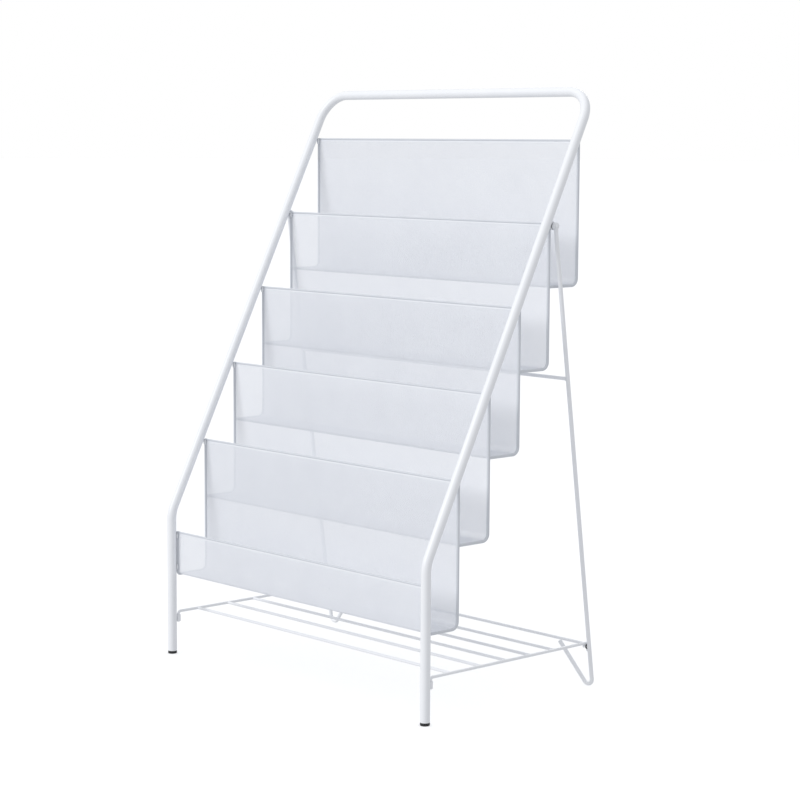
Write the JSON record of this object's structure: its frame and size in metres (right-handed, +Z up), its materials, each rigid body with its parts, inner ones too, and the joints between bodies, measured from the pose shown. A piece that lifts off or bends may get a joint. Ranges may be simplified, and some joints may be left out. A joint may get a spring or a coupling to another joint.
{
  "type": "newspaper rack",
  "caption": "Easel-style wire newspaper rack: bent tube frame with stepped mesh trays, hinged rear legs and a tie shelf of wires near the floor.",
  "frame": {"origin": "on the floor, in the middle of the rack's bounding box", "axes": "+Z up, +X to the rack's right as its front is looked at, +Y from the front to the rear; the trays open upwards and face -Y"},
  "size_m": [0.6844, 0.3965, 1.008],
  "materials": {
    "powder_coat": "white satin powder coat on steel tube and wire",
    "coated_mesh": "white powder-coated steel mesh, fine and see-through",
    "black_plastic": "matt black moulded plastic"
  },
  "bodies": {
    "rack": {"front_frame": "powder_coat", "foot_plug_left": "black_plastic", "foot_plug_right": "black_plastic", "tray_1_mesh": "coated_mesh", "tray_1_side_wire_left": "powder_coat", "tray_1_side_wire_right": "powder_coat", "tray_1_top_wire": "powder_coat", "tray_1_front_wire": "powder_coat", "tray_2_mesh": "coated_mesh", "tray_2_side_wire_left": "powder_coat", "tray_2_side_wire_right": "powder_coat", "tray_2_top_wire": "powder_coat", "tray_2_front_wire": "powder_coat", "tray_3_mesh": "coated_mesh", "tray_3_side_wire_left": "powder_coat", "tray_3_side_wire_right": "powder_coat", "tray_3_top_wire": "powder_coat", "tray_3_front_wire": "powder_coat", "tray_4_mesh": "coated_mesh", "tray_4_side_wire_left": "powder_coat", "tray_4_side_wire_right": "powder_coat", "tray_4_top_wire": "powder_coat", "tray_4_front_wire": "powder_coat", "tray_5_mesh": "coated_mesh", "tray_5_side_wire_left": "powder_coat", "tray_5_side_wire_right": "powder_coat", "tray_5_top_wire": "powder_coat", "tray_5_lip_wire": "powder_coat", "hinge_lug_left": "powder_coat", "hinge_lug_right": "powder_coat", "hinge_rivet_left": "powder_coat", "hinge_rivet_right": "powder_coat", "shelf_socket_left": "powder_coat", "shelf_socket_right": "powder_coat"},
    "rear_frame": {"rear_leg_left": "powder_coat", "rear_leg_right": "powder_coat", "rear_crossbar": "powder_coat", "hinge_spacer_left": "black_plastic", "hinge_spacer_right": "black_plastic", "shelf_stud_left": "powder_coat", "shelf_stud_right": "powder_coat", "shelf_spacer_left": "black_plastic", "shelf_spacer_right": "black_plastic"},
    "shelf": {"shelf_side_wire_left": "powder_coat", "shelf_side_wire_right": "powder_coat", "shelf_cross_wire_1": "powder_coat", "shelf_cross_wire_2": "powder_coat", "shelf_cross_wire_3": "powder_coat", "shelf_cross_wire_4": "powder_coat", "shelf_cross_wire_5": "powder_coat", "shelf_cross_wire_6": "powder_coat"}
  },
  "joints": [
    {"name": "rear_frame_fold", "type": "hinge", "parent": "rack", "child": "rear_frame", "pos_m": [0, 0.08795, 0.7819], "axis": [1, 0, 0], "range_deg": [-21, 0]},
    {"name": "shelf_lift", "type": "slide", "parent": "rack", "child": "shelf", "axis": [0, 0, 1], "range_m": [0, 0.03]}
  ],
  "couplings": [
    {"joint": "shelf_lift", "follows": "rear_frame_fold", "m_per_rad": -0.0818}
  ]
}
